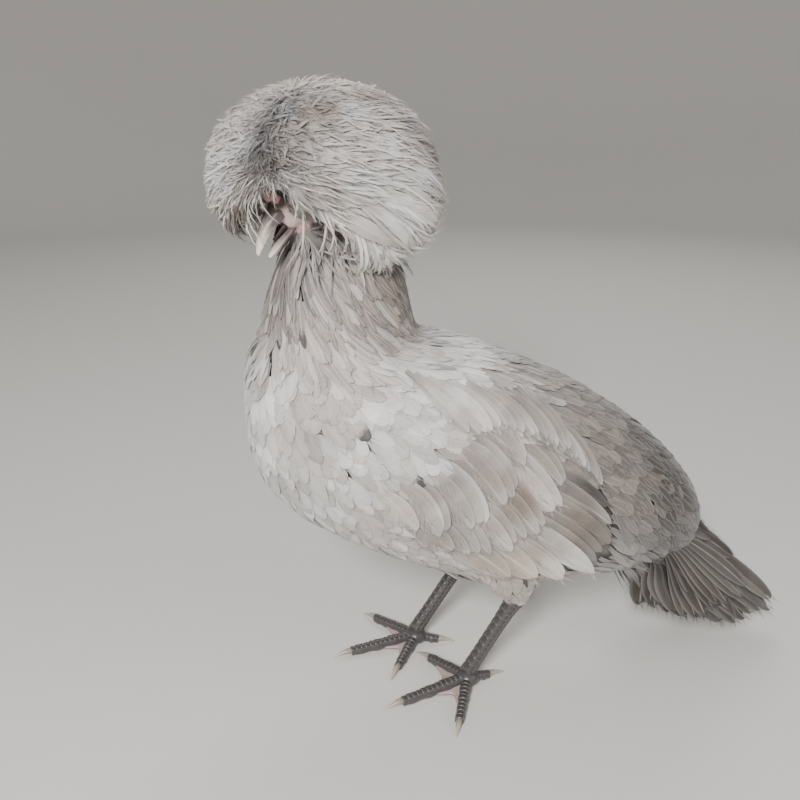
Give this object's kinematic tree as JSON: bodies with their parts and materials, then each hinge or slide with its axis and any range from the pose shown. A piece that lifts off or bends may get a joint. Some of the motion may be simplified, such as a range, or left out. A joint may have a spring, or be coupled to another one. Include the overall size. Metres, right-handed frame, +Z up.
{
  "type": "polish crested chicken",
  "caption": "Life-size polish crested hen standing still, with a globe crest of long feathers, folded wings, a drooping tail and scaled legs.",
  "frame": {"origin": "on the floor, under the middle of the hen's box", "axes": "+Z up; the hen faces -X with its left side towards -Y"},
  "size_m": [0.4138, 0.17, 0.4026],
  "materials": {
    "body": "soft silver-grey contour feathers, each webbed and overlapping",
    "neck": "narrow brownish lavender hackle feathers with pale shafts",
    "crest": "long loose feathers, brownish grey at the middle and whitish at the tips",
    "wing": "smooth overlapping coverts and flight feathers, pale cream at the lower edge",
    "tail": "soft broad brown-grey tail feathers",
    "face": "bare pinkish skin, finely wrinkled",
    "comb": "small soft red skin",
    "earlobe": "small pale skin pad",
    "beak": "horn, satin, pale at the tip and dark about the nostrils",
    "eye": "wet orange-brown iris with a black pupil",
    "shank": "slate blue-grey scales with pale edges",
    "claw": "pale horn"
  },
  "bodies": {
    "root": {"torso": "body", "neck": "neck", "head": "face", "comb": "comb", "beak_upper": "beak", "beak_lower": "beak", "crest": "crest", "tail": "tail", "eye_left": "eye", "wattle_left": "comb", "earlobe_left": "earlobe", "wing_left": "wing", "thigh_left": "body", "shank_left": "shank", "foot_left": "shank", "claw_second_left": "claw", "claw_middle_left": "claw", "claw_outer_left": "claw", "claw_hind_left": "claw", "eye_right": "eye", "wattle_right": "comb", "earlobe_right": "earlobe", "wing_right": "wing", "thigh_right": "body", "shank_right": "shank", "foot_right": "shank", "claw_second_right": "claw", "claw_middle_right": "claw", "claw_outer_right": "claw", "claw_hind_right": "claw"}
  },
  "joints": []
}
